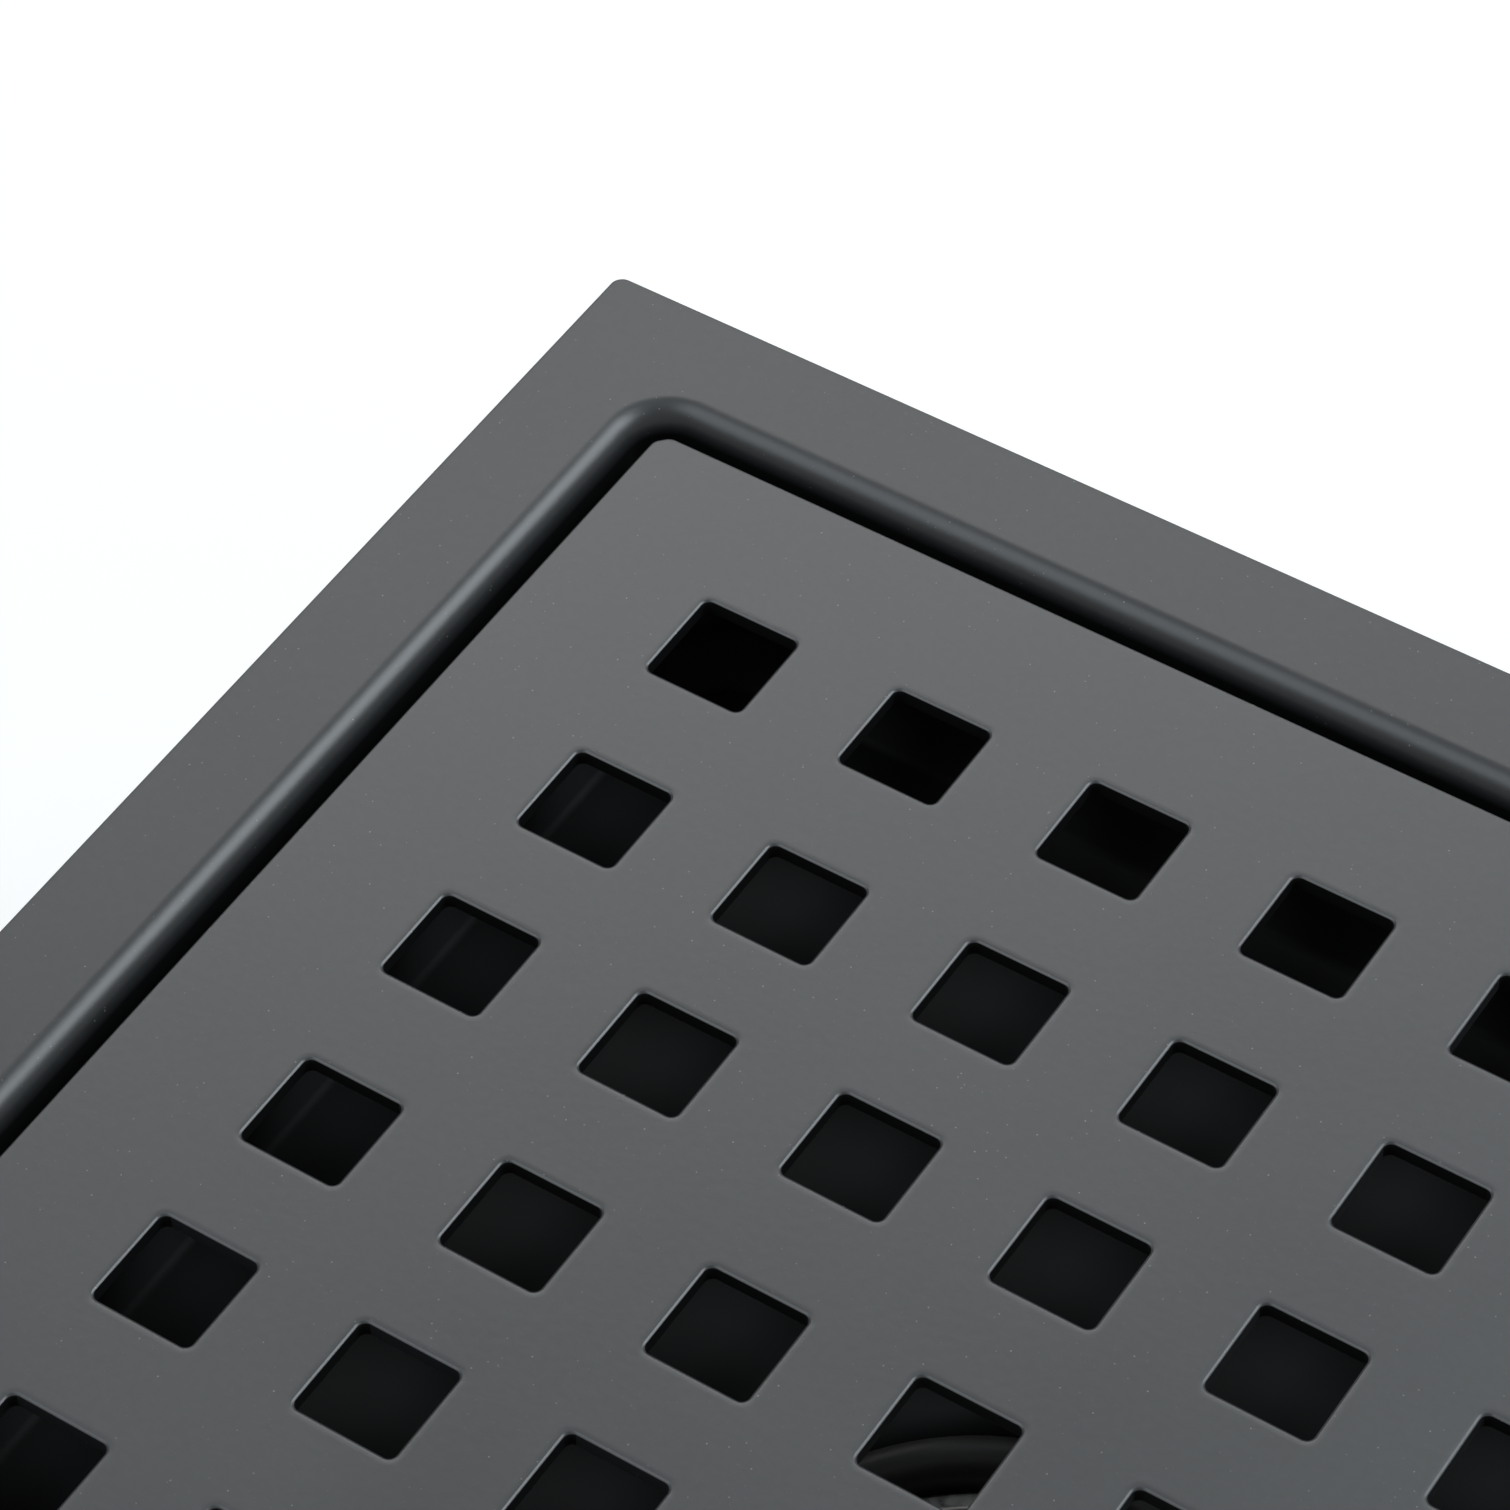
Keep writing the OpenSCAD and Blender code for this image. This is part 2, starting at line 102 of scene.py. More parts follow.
# %% Node helpers
def add(tree, kind, *sources, settings=None, **values):
    """Adds one node. Sources are linked to its first sockets, and values are set on other ones."""
    made = tree.nodes.new("ShaderNode" + kind)
    for name, value in (settings or {}).items():
        setattr(made, name, value)
    for source, end in zip(sources, made.inputs):
        tree.links.new(source, end)
    for name, value in values.items():
        made.inputs[name.replace("_", " ")].default_value = value
    return made


def join(tree, operation, first, second):
    """Two values put together by one sum."""
    return add(tree, "Math", first, second, settings={"operation": operation}).outputs[0]


def mix_shaders(tree, share, first, second):
    """The first shader where the share is zero, and the second where it is one."""
    return add(tree, "MixShader", share, first, second).outputs[0]


def grey(value, tint=(1.0, 1.0, 1.0)):
    """A grey colour with a tint, as red, green, blue and alpha."""
    return (value * tint[0], value * tint[1], value * tint[2], 1.0)


# %% [markdown]
# The floor is a plain pale sheet under the outlet. For the light it is an ordinary white surface, so
# it takes the drain's soft shadow. A ray that comes straight from the camera, or by way of a gloss,
# also gets a little glow, which lifts the paper to white without adding light to the drain. From
# below the floor lets the view through, so the underside can be looked at too.

# %% Floor
paper_half = 4.0
paper_white = 0.8
paper_glow = 0.34


def seen_ray(tree):
    """One for a ray from the camera, from a gloss or through glass, and zero for the others."""
    path = add(tree, "LightPath")
    either = join(tree, "MAXIMUM", path.outputs["Is Camera Ray"], path.outputs["Is Glossy Ray"])
    return join(tree, "MAXIMUM", either, path.outputs["Is Transmission Ray"])


paper = bpy.data.materials.new("paper")
paper.use_nodes = True
tree = paper.node_tree
tree.nodes.clear()
matt = add(tree, "BsdfDiffuse", Color=grey(paper_white)).outputs[0]
glow = add(tree, "Emission", Color=grey(1.0), Strength=paper_glow).outputs[0]
lit = add(tree, "AddShader", matt, glow).outputs[0]
upper = mix_shaders(tree, seen_ray(tree), matt, lit)
clear = add(tree, "BsdfTransparent").outputs[0]
below = add(tree, "NewGeometry").outputs["Backfacing"]
add(tree, "OutputMaterial", mix_shaders(tree, below, upper, clear))

floor_mesh = bpy.data.meshes.new("floor")
floor_corners = [(x * paper_half, y * paper_half, 0) for x, y in ((-1, -1), (1, -1), (1, 1), (-1, 1))]
floor_mesh.from_pydata(floor_corners, [], [(0, 1, 2, 3)])
floor_mesh.materials.append(paper)
floor = bpy.data.objects.new("floor", floor_mesh)
scene.collection.objects.link(floor)
print("floor:", 2 * paper_half, "m square")

# %% [markdown]
# The light is plain and soft. A dark satin surface shows what it mirrors, and the photograph tells
# where that light stood: the flats fade towards the near side, the left bend is brightest where it
# mirrors the right, and the top bend where it mirrors the front left. So three wide soft boxes stand
# behind, at the right and at the front left, the last two a little cooler. An even, dim world fills
# the rest, and the camera sees plain white past the floor. Each box is given by what it adds to the
# light on a level surface. With the world they come to about one, so a colour renders as written.

# %% Light
cool = (0.9, 0.96, 1.0)
world_level = 0.26
box_distance = 1.2

world = bpy.data.worlds.new("studio")
world.use_nodes = True
scene.world = world
tree = world.node_tree
tree.nodes.clear()
dim = add(tree, "Background", Color=grey(1.0), Strength=world_level).outputs[0]
white = add(tree, "Background", Color=grey(1.0), Strength=1.0).outputs[0]
camera_ray = add(tree, "LightPath").outputs["Is Camera Ray"]
add(tree, "OutputWorld", mix_shaders(tree, camera_ray, dim, white))


def soft_box(name, compass, elevation, width, height, share, tint=(1, 1, 1)):
    """A flat lamp. Compass 0 is along +X and 90 along +Y; share is what it adds to the level."""
    around = math.radians(compass)
    above = math.radians(elevation)
    level = math.cos(above)
    place = Vector((math.cos(around) * level, math.sin(around) * level, math.sin(above)))
    lamp = bpy.data.lights.new(name, "AREA")
    lamp.shape = "RECTANGLE"
    lamp.size = width
    lamp.size_y = height
    lamp.color = tint
    lamp.energy = share * math.pi ** 2 * box_distance ** 2 / math.sin(above)
    made = bpy.data.objects.new(name, lamp)
    made.location = place * box_distance
    made.rotation_mode = "QUATERNION"
    made.rotation_quaternion = (-place).to_track_quat("-Z", "Y")
    scene.collection.objects.link(made)
    print(name, "watts:", round(lamp.energy, 2))


soft_box("back_box", compass=126, elevation=43, width=0.8, height=0.34, share=0.103)
soft_box("right_box", compass=58, elevation=51, width=0.75, height=0.55, share=0.35, tint=cool)
soft_box("front_box", compass=212, elevation=62, width=0.8, height=0.75, share=0.2, tint=cool)
scene.view_settings.view_transform = "Standard"

# %% [markdown]
# Every finish starts from the main shader and a place in millimetres on the piece itself, so a grain
# of 0.2 mm is the same on every piece. It is then built up from patterns. The helpers here make
# noise of a known size, stretch a pattern to the range that is wanted, put two colours together, and
# give the shader its colour, its roughness and bumps of a known height.

# %% Finish helpers
fine_detail = 3.0


def new_finish(name, metallic=0.0):
    """A material with only the main shader, and the piece's own place in millimetres."""
    finish = bpy.data.materials.new(name)
    finish.use_nodes = True
    tree = finish.node_tree
    shader = tree.nodes["Principled BSDF"]
    shader.inputs["Metallic"].default_value = metallic
    place = add(tree, "TexCoord").outputs["Object"]
    scaled = add(tree, "VectorMath", place, settings={"operation": "SCALE"}, Scale=1 / MM)
    return finish, tree, shader, scaled.outputs[0]


def cloud(tree, place, size, detail=2.0):
    """Noise whose patches are about as wide as size, in millimetres."""
    return add(tree, "TexNoise", place, Scale=1 / size, Detail=detail).outputs["Fac"]


def spread(tree, value, low, high, start=0.3, end=0.7):
    """Stretches a pattern from start and end to low and high."""
    ramp = add(tree, "MapRange", value, From_Min=start, From_Max=end, To_Min=low, To_Max=high)
    return ramp.outputs[0]


def socket(sockets, identifier):
    """One socket of a node that has several of the same name."""
    return next(s for s in sockets if s.identifier == identifier)


def mix_colours(tree, share, low, high):
    """A colour between two, each one a colour or a socket."""
    mix = add(tree, "Mix", share, settings={"data_type": "RGBA"})
    for colour, name in ((low, "A_Color"), (high, "B_Color")):
        end = socket(mix.inputs, name)
        if isinstance(colour, tuple):
            end.default_value = colour
        else:
            tree.links.new(colour, end)
    return socket(mix.outputs, "Result_Color")


def dress(tree, shader, colour, rough, layers):
    """Colour, roughness and bumps, each bump with its pattern and its height in millimetres."""
    tree.links.new(colour, shader.inputs["Base Color"])
    tree.links.new(rough, shader.inputs["Roughness"])
    under = None
    for pattern, depth in layers:
        bump = add(tree, "Bump", Strength=1.0, Distance=depth * MM)
        tree.links.new(pattern, bump.inputs["Height"])
        if under is not None:
            tree.links.new(under, bump.inputs["Normal"])
        under = bump.outputs[0]
    tree.links.new(under, shader.inputs["Normal"])


# %% [markdown]
# Fine dust settles in the coating while it is wet and leaves pale specks a tenth of a millimetre
# across. They are the middles of some cells of a cell pattern. Each cell also has a colour of its
# own, and its red part says how pale that speck is, so most of them are hardly seen.

# %% Specks
speck_greys = (0.05, 0.2)
speck_cell = 0.62
speck_reach = 0.085
speck_chance = 0.6


def specks(tree, place):
    """Where the specks are, as one and zero, and the colour of each."""
    cells = add(tree, "TexVoronoi", place, Scale=1 / speck_cell)
    near = add(tree, "Math", cells.outputs["Distance"], settings={"operation": "LESS_THAN"})
    near.inputs[1].default_value = speck_reach
    chance = add(tree, "SeparateColor", cells.outputs["Color"])
    pale = spread(tree, chance.outputs["Red"], 0.0, 1.0, speck_chance, 1.0)
    return near.outputs[0], mix_colours(tree, pale, grey(speck_greys[0]), grey(speck_greys[1]))


# %% [markdown]
# The spray gun reaches the faces well and gives them their sheen. Down in the recess, under the grate
# and on the walls of its holes the spray lands half dry and powdery, so the coating there is dull. Its
# colour there is also cut to a small share of the film's colour, which is painted shade and makes those
# places nearly black. The outside of the tray and the tube are sprayed from outside and have the sheen
# again. The height, the way a surface faces, and whether it looks towards one point above the grate
# tell these places apart.

# %% Sheen and painted shade
face_z = 56.5
dull_z = 54.0
wall_facing = 0.05
face_facing = 0.4
inner_point = (0, 0, 64)
side_blur = 1.0


def sheen_unshaded_mask(tree, place):
    """One on faces with full sheen and no painted shade, zero in the recess and on the walls of the
    holes.
    """
    height = add(tree, "SeparateXYZ", place).outputs["Z"]
    high_up = spread(tree, height, 0.0, 1.0, dull_z, face_z)
    normal = add(tree, "NewGeometry").outputs["Normal"]
    facing = add(tree, "SeparateXYZ", normal).outputs["Z"]
    facing_up = spread(tree, facing, 0.0, 1.0, wall_facing, face_facing)
    sight = add(tree, "VectorMath", settings={"operation": "SUBTRACT"})
    sight.inputs[0].default_value = inner_point
    tree.links.new(place, sight.inputs[1])
    dot = {"operation": "DOT_PRODUCT"}
    towards = add(tree, "VectorMath", sight.outputs[0], normal, settings=dot).outputs["Value"]
    outside = spread(tree, towards, 1.0, 0.0, -side_blur, side_blur)
    return join(tree, "MAXIMUM", join(tree, "MULTIPLY", high_up, facing_up), outside)


# %% [markdown]
# The coating itself is a thin matt black film on stainless sheet. Its own colour is very dark, and
# most of what is seen on a flat is the soft sheen of the film, so the sheen carries the look. The
# tray came out a little duller than the plate. Three sizes of noise do the rest: slow changes of
# sheen and slight waves over a few centimetres, faint clouds under a millimetre, and a grain that
# only shows close up.

# %% Coating
coat_grey = 0.03
coat_tint = (0.9, 1.0, 1.08)
sheen_tint = (0.966, 0.984, 1.0, 1.0)
tray_gloss = 0.82
plate_gloss = 1.0
coat_rough = 0.36
recess_shade_share = 0.15
dull_rough = 0.64
dull_gloss = 0.31
wave_size = 26.0
wave_h = 0.045
sheen_drift = 0.05
rough_drift = 0.02
cloud_size = 0.7
cloud_h = 0.007
cloud_share = 0.07
grain_size = 0.16
grain_h = 0.0012


def coat(name, gloss):
    """The black coating with its own strength of sheen."""
    finish, tree, shader, place = new_finish(name)
    waves = cloud(tree, place, wave_size)
    clouds = cloud(tree, place, cloud_size)
    grain = cloud(tree, place, grain_size, fine_detail)
    face = sheen_unshaded_mask(tree, place)
    low = grey(coat_grey * (1 - cloud_share), coat_tint)
    high = grey(coat_grey * (1 + cloud_share), coat_tint)
    film = mix_colours(tree, spread(tree, clouds, 0.0, 1.0), low, high)
    # Painted shade: in the recess, under the grate and on the hole walls only a small share of the
    # film's colour is kept.
    film = mix_colours(tree, face, grey(coat_grey * recess_shade_share, coat_tint), film)
    near, speck = specks(tree, place)
    dusty = mix_colours(tree, join(tree, "MULTIPLY", near, face), film, speck)
    shader.inputs["Specular Tint"].default_value = sheen_tint
    own_gloss = spread(tree, face, dull_gloss, gloss, 0.0, 1.0)
    drift = spread(tree, waves, 1 - sheen_drift, 1 + sheen_drift)
    tree.links.new(join(tree, "MULTIPLY", own_gloss, drift), shader.inputs["Specular IOR Level"])
    own_rough = spread(tree, face, dull_rough, coat_rough, 0.0, 1.0)
    rough = join(tree, "ADD", own_rough, spread(tree, waves, -rough_drift, rough_drift))
    dress(tree, shader, dusty, rough, [(waves, wave_h), (clouds, cloud_h), (grain, grain_h)])
    print(name, "has", len(tree.nodes), "nodes")
    return finish


tray_coating = coat("tray_coating", tray_gloss)
plate_coating = coat("plate_coating", plate_gloss)

# %% [markdown]
# The trap is black moulded plastic. Its mould was spark eroded, which leaves a fine, even texture on
# every face, and the plastic's colour varies a little.

# %% Moulding
mould_grey = 0.022
mould_shades = (0.9, 1.15)
mould_shade_size = 5.0
mould_rough = (0.42, 0.52)
erosion_size = 0.12
erosion_h = 0.006

moulding, tree, shader, place = new_finish("moulding")
erosion = cloud(tree, place, erosion_size, fine_detail)
shade = spread(tree, cloud(tree, place, mould_shade_size), 0.0, 1.0)
mould_low, mould_high = (grey(mould_grey * change) for change in mould_shades)
mould_colour = mix_colours(tree, shade, mould_low, mould_high)
dress(tree, shader, mould_colour, spread(tree, erosion, *mould_rough), [(erosion, erosion_h)])
print("moulding has", len(tree.nodes), "nodes")

# %% [markdown]
# The seal and the gasket are milky silicone, soft and a little cloudy. Light goes about a millimetre
# into it, so the shader lets it in too.

# %% Silicone
silicone_colours = ((0.60, 0.60, 0.57, 1.0), (0.53, 0.53, 0.50, 1.0))
silicone_rough = (0.38, 0.5)
light_share = 0.35
light_reach = (1.2, 1.1, 1.0)
haze_size = 2.5
haze_h = 0.01
skin_size = 0.3
skin_h = 0.003

silicone, tree, shader, place = new_finish("silicone")
haze = cloud(tree, place, haze_size)
skin_grain = cloud(tree, place, skin_size)
milky = mix_colours(tree, spread(tree, haze, 0.0, 1.0), *silicone_colours)
rough = spread(tree, skin_grain, *silicone_rough)
shader.inputs["Subsurface Weight"].default_value = light_share
shader.inputs["Subsurface Radius"].default_value = [reach * MM for reach in light_reach]
dress(tree, shader, milky, rough, [(haze, haze_h), (skin_grain, skin_h)])
print("silicone has", len(tree.nodes), "nodes")

# %% [markdown]
# The stem, the basket, the spring and the clip are bare stainless steel with fine drawn lines. They
# are noise squeezed along the axis, so that the lines run round the turned pieces.

# %% Steel
steel_grey = 0.56
steel_tint = (1.0, 0.99, 0.965)
steel_shades = (0.92, 1.05)
steel_rough = (0.26, 0.38)
drawn_squeeze = (1.0, 1.0, 14.0)
drawn_size = 0.6
drawn_h = 0.002

steel, tree, shader, place = new_finish("steel", metallic=1.0)
along = add(tree, "Mapping", place, Scale=drawn_squeeze).outputs[0]
drawn = cloud(tree, along, drawn_size, fine_detail)
steel_low, steel_high = (grey(steel_grey * change, steel_tint) for change in steel_shades)
steel_shade = mix_colours(tree, spread(tree, drawn, 0.0, 1.0), steel_low, steel_high)
dress(tree, shader, steel_shade, spread(tree, drawn, *steel_rough), [(drawn, drawn_h)])
print("finishes:", ", ".join(sorted(m.name for m in bpy.data.materials)))

# %% [markdown]
# Most of the drain is one section carried round a path: round a square for the tray, and round the
# axis for everything inside the tube. So a few helpers are enough: a section with rounded corners,
# points turned to another side, and a skin over a row of rings with the same number of points. No
# edge is left knife sharp, because a small round edge is what catches the light on a real part.

# %% Section helpers
round_steps = 5
turn_steps = 96


def arc(centre, radius, start, end, steps):
    """Points on an arc, both ends included, with angles in degrees."""
    made = []
    for step in range(steps + 1):
        angle = math.radians(start + (end - start) * step / steps)
        made.append((centre[0] + radius * math.cos(angle), centre[1] + radius * math.sin(angle)))
    return made


def rounded(corners, steps=round_steps):
    """A closed outline from corners of (x, y, radius), each one turned into an arc."""
    made = []
    for i, (x, y, radius) in enumerate(corners):
        if radius == 0:
            made.append((x, y))
            continue
        here = Vector((x, y))
        back = (Vector(corners[i - 1][:2]) - here).normalized()
        ahead = (Vector(corners[(i + 1) % len(corners)][:2]) - here).normalized()
        half_angle = back.angle(ahead) / 2
        start = here + back * radius / math.tan(half_angle)
        end = here + ahead * radius / math.tan(half_angle)
        centre = here + (back + ahead).normalized() * radius / math.sin(half_angle)
        first = start - centre
        turn = first.angle_signed(end - centre)
        for step in range(steps + 1):
            spoke = Quaternion((0, 0, 1), -turn * step / steps) @ first.to_3d()
            made.append((centre.x + spoke.x, centre.y + spoke.y))
    return made


def swung(plan, angle):
    """Plan points turned about the axis."""
    across = math.cos(angle)
    up = math.sin(angle)
    return [(x * across - y * up, x * up + y * across) for x, y in plan]


def quarters(plan, z):
    """Plan points of one side at one height, and the same again on the other three sides."""
    made = []
    for quarter in range(4):
        made += [(x, y, z) for x, y in swung(plan, math.radians(90 * quarter))]
    return made


def upright(section, angle):
    """A section of (radius, height) points, stood up at one angle round the axis."""
    return [(r * math.cos(angle), r * math.sin(angle), z) for r, z in section]


def skin(rings):
    """Points and quads of a closed skin: each ring is a loop, and the last ring joins the first."""
    count = len(rings[0])
    points = [point for ring in rings for point in ring]
    faces = []
    for i in range(len(rings)):
        here = i * count
        there = (i + 1) % len(rings) * count
        for j in range(count):
            ahead = (j + 1) % count
            faces.append((here + j, here + ahead, there + ahead, there + j))
    return points, faces


def turned(section, steps=turn_steps):
    """A section carried round the axis."""
    return skin([upright(section, math.tau * step / steps) for step in range(steps)])


print("a turned piece has", turn_steps, "sides")

# %% [markdown]
# A mesh becomes a piece in one place: it is scaled to metres, points that meet are merged, faces
# that have no area go, and the rest turn outwards. The weighted normals keep a large flat face flat
# right up to the bend next to it, so that the bend alone carries the highlight. Then the piece rides
# on its body and stands for its solid.

# %% Piece helpers
merge_gap = 0.001
empty_gap = 0.0001
soften_segments = 3
soften_corner = 40


def clean(mesh):
    """Merges doubled points, drops empty faces and turns the rest outwards."""
    shape = bmesh.new()
    shape.from_mesh(mesh)
    bmesh.ops.remove_doubles(shape, verts=shape.verts, dist=merge_gap * MM)
    bmesh.ops.dissolve_degenerate(shape, edges=shape.edges, dist=empty_gap * MM)
    bmesh.ops.recalc_face_normals(shape, faces=shape.faces)
    for face in shape.faces:
        face.smooth = True
    shape.to_mesh(mesh)
    shape.free()


def make_object(name, shape):
    """An object from points in millimetres and faces."""
    points, faces = shape
    mesh = bpy.data.meshes.new(name)
    mesh.from_pydata([Vector(point) * MM for point in points], [], faces)
    clean(mesh)
    made = bpy.data.objects.new(name, mesh)
    scene.collection.objects.link(made)
    return made


def combine(piece, other, operation):
    """Joins another object to a piece or cuts it away, and removes the other object."""
    step = piece.modifiers.new("combine", "BOOLEAN")
    step.operation = operation
    step.solver = "EXACT"
    step.object = other
    bpy.context.view_layer.update()
    made = piece.evaluated_get(bpy.context.evaluated_depsgraph_get())
    mesh = bpy.data.meshes.new_from_object(made)
    piece.modifiers.clear()
    piece.data = mesh
    bpy.data.objects.remove(other)
    clean(mesh)


def soften(piece, width, corner=soften_corner):
    """Rounds every edge of a piece that turns by more than the corner angle."""
    round_edges = piece.modifiers.new("round_edges", "BEVEL")
    round_edges.width = width * MM
    round_edges.segments = soften_segments
    round_edges.limit_method = "ANGLE"
    round_edges.angle_limit = math.radians(corner)
    round_edges.harden_normals = False


def fit(piece, finish, body, slot, *nodes):
    """Gives a piece its finish, its normals, its body and the solids that it stands for."""
    piece.data.materials.clear()
    piece.data.materials.append(finish)
    even = piece.modifiers.new("even_normals", "WEIGHTED_NORMAL")
    even.keep_sharp = True
    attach(piece, body)
    if nodes:
        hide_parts(*nodes)
    print(piece.name, "faces:", len(piece.data.polygons))


# %% [markdown]
# The tray. One sheet was pressed in one go: a flat rim, a rolled bend down into the recess, the
# wall, a ledge that the grate's legs stand on, a step, the floor and a short neck into the outlet.
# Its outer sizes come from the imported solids, so the two can't drift apart.

# %% Tray sizes
sheet_t = 1.0
rim_w = 6.9
rim_corner_r = 0.9
bend_r = 1.9
recess_corner_r = 2.9
ledge_bend_r = 1.2
ledge_depth = 8.6
ledge_w = 5.6
step_depth = 2.8
step_slope = 45
step_bend_r = 1.0
step_corner_r = 5.5
weld_leg = 1.8
outlet_wall = 1.2
neck_gap = 0.2
neck_bend_r = 2.2

tray_low, tray_high = span("drain_body")
rim_half = tray_high.x
rim_z = tray_high.z
neck_end_z = tray_low.z
wall_half = rim_half - rim_w - bend_r
rim_inner = wall_half + bend_r
recess_centre = wall_half - recess_corner_r
rim_centre = rim_half - rim_corner_r
ledge_outer = wall_half - ledge_bend_r
ledge_inner = wall_half - ledge_w
ledge_z = rim_z - ledge_depth
floor_z = ledge_z - step_depth
step_outer_r = step_bend_r + sheet_t
slope = math.radians(step_slope)
bend_run = (step_bend_r + step_outer_r) * math.sin(slope)
bend_drop = (step_bend_r + step_outer_r) * (1 - math.cos(slope))
floor_half = ledge_inner - bend_run - (step_depth - bend_drop) / math.tan(slope)
step_centre = floor_half - step_corner_r
tube_r = span("outlet_tube")[1].x - weld_leg
tube_bore_r = tube_r - outlet_wall
neck_r = tube_bore_r - neck_gap - sheet_t
neck_centre = neck_r + neck_bend_r
neck_bend_z = floor_z - neck_bend_r
print("tray floor at", round(floor_z, 2), "mm, half width", round(floor_half, 2), "mm")

# %% [markdown]
# A loop is one turn round the drain at one point of the section. On the tray it is a square with
# round corners, and at the neck it is a circle. Both have the same number of points, spread the same
# way, so the floor between them is a clean fan of quads.

# %% Loops round the drain
side_steps = 12
corner_steps = 16


def loop(half, z, corner, sides=side_steps, corners=corner_steps):
    """A closed loop. Corner is how far the corner centres lie from the middle, or None if round."""
    if corner is None:
        spacing = 90 / (sides + corners)
        start = 45 - spacing * (sides + corners / 2)
        plan = arc((0, 0), half, start, start + 90, sides + corners)[:-1]
    else:
        plan = [(half, corner * (2 * step / sides - 1)) for step in range(sides)]
        plan += arc((corner, corner), half - corner, 0, 90, corners)[:-1]
    return quarters(plan, z)


print("points in one loop:", len(loop(rim_half, rim_z, rim_centre)))

# %% [markdown]
# The tray could be a thin plane with a thickness modifier, but then the inside and outside of each
# bend would not be true arcs. Here the section is drawn once, top side and underside, and carried
# round a square whose corner centre is given at each point of the section.

# %% Tray
cut_edge_r = 0.22
neck_edge_r = 0.3
bend_steps = 16
edge_steps = 5


def bend(half, z, radius, start, end, corner, steps=bend_steps):
    """The stretch of a section that turns about one centre, from one angle to another."""
    return [(x, y, corner) for x, y in arc((half, z), radius, start, end, steps)]


rim_bend_z = rim_z - bend_r
rim_edge = rim_half - cut_edge_r
rim_top = (rim_edge, rim_z - cut_edge_r)
rim_foot = (rim_edge, rim_z - sheet_t + cut_edge_r)
ledge_bend_z = ledge_z + ledge_bend_r
step_top = (ledge_inner, ledge_z - step_outer_r)
step_foot = (floor_half, floor_z + step_bend_r)
neck_edge_z = neck_end_z + neck_edge_r
topside = (
    bend(*rim_top, cut_edge_r, 0, 90, rim_centre, edge_steps)
    + bend(rim_inner, rim_bend_z, bend_r, 90, 180, recess_centre)
    + bend(ledge_outer, ledge_bend_z, ledge_bend_r, 360, 270, recess_centre)
    + bend(*step_top, step_outer_r, 90, 90 + step_slope, step_centre)
    + bend(*step_foot, step_bend_r, 270 + step_slope, 270, step_centre)
    + bend(neck_centre, neck_bend_z, neck_bend_r, 90, 180, None)
    + bend(neck_r + neck_edge_r, neck_edge_z, neck_edge_r, 180, 270, None, edge_steps)
)
underside = (
    bend(neck_r + sheet_t - neck_edge_r, neck_edge_z, neck_edge_r, 270, 360, None, edge_steps)
    + bend(neck_centre, neck_bend_z, neck_bend_r - sheet_t, 180, 90, None)
    + bend(*step_foot, step_outer_r, 270, 270 + step_slope, step_centre)
    + bend(*step_top, step_bend_r, 90 + step_slope, 90, step_centre)
    + bend(ledge_outer, ledge_bend_z, ledge_bend_r + sheet_t, 270, 360, recess_centre)
    + bend(rim_inner, rim_bend_z, bend_r - sheet_t, 180, 90, recess_centre)
    + bend(*rim_foot, cut_edge_r, 270, 360, rim_centre, edge_steps)
)
tray = make_object("tray", skin([loop(*station) for station in topside + underside]))
fit(tray, tray_coating, "drain", "coating", "drain_body")

# %% [markdown]
# The grate. A flat plate with rows of square holes punched from above. The punch draws the sheet
# down a very little round each hole and leaves a narrow slope at the top edge, which shows as a thin
# light line on the sides that face the viewer. The lower edge stays nearly sharp. Every second row
# was punched a little off line.

# %% Grate sizes
hole_count = 8
hole_margin = 10.75
hole_w = 7.1
hole_corner_r = 0.55
roll_w = 0.4
roll_depth = 0.02
slope_w = 0.13
slope_tilt = 28
punch_edge_r = 0.05
hole_break = 0.1
row_shift = 0.34
row_drop = 0.45
grate_clip = 0.85
grate_corner_r = 0.9
grate_edge_r = 0.2
flat_w = 0.4

grate_low, grate_high = span("grate")
grate_half = grate_high.x
grate_z = grate_high.z
grate_under_z = grate_low.z
hole_last = grate_half - hole_margin - hole_w / 2
hole_pitch = 2 * hole_last / (hole_count - 1)
field_half = hole_pitch * hole_count / 2
print("pitch", round(hole_pitch, 3), "mm, plate", round(2 * grate_half, 2), "mm")

# %% [markdown]
# Cutting 64 holes with a boolean would leave long thin faces, which spoil the plate's shading. So it
# is built from 64 square tiles instead, each with its hole as a stack of loops. Tiles share their
# border points, so they merge into one sheet.

# %% Punched tile
hole_sides = 4
hole_corners = 8
tile_points = hole_sides + hole_corners
roll_steps = 5
slope_steps = 2
break_steps = 3
tile_gap = hole_pitch / tile_points


def tile_border(z):
    """The loop round a tile, with a point at each corner and as many points as the hole's loop."""
    plan = []
    for step in range(tile_points):
        past = (step - hole_sides - hole_corners / 2) * tile_gap
        plan.append((hole_pitch / 2 - max(0, past), hole_pitch / 2 + min(0, past)))
    return quarters(plan, z)


hole_half = hole_w / 2
hole_centre = hole_half - hole_corner_r
roll_r = (roll_w ** 2 + roll_depth ** 2) / (2 * roll_depth)
roll_end = 90 + math.degrees(math.asin(roll_w / roll_r))
roll_sin = math.sin(math.radians(roll_end))
roll_cos = math.cos(math.radians(roll_end))
slope_end = 90 + slope_tilt
slope_out = slope_w * math.cos(math.radians(slope_tilt))
slope_drop = slope_w * math.sin(math.radians(slope_tilt))
edge_out = hole_half + punch_edge_r + slope_out
edge_z = grate_z - roll_depth - punch_edge_r * roll_sin
roll_out = edge_out + (punch_edge_r - roll_r) * roll_cos
slope_foot = (edge_out - slope_out, edge_z - slope_drop)
break_place = (hole_half + hole_break, grate_under_z + hole_break)
hole_section = arc((roll_out, grate_z - roll_r), roll_r, 90, roll_end, roll_steps)
hole_section += arc((edge_out, edge_z), punch_edge_r, roll_end, slope_end, slope_steps)[1:]
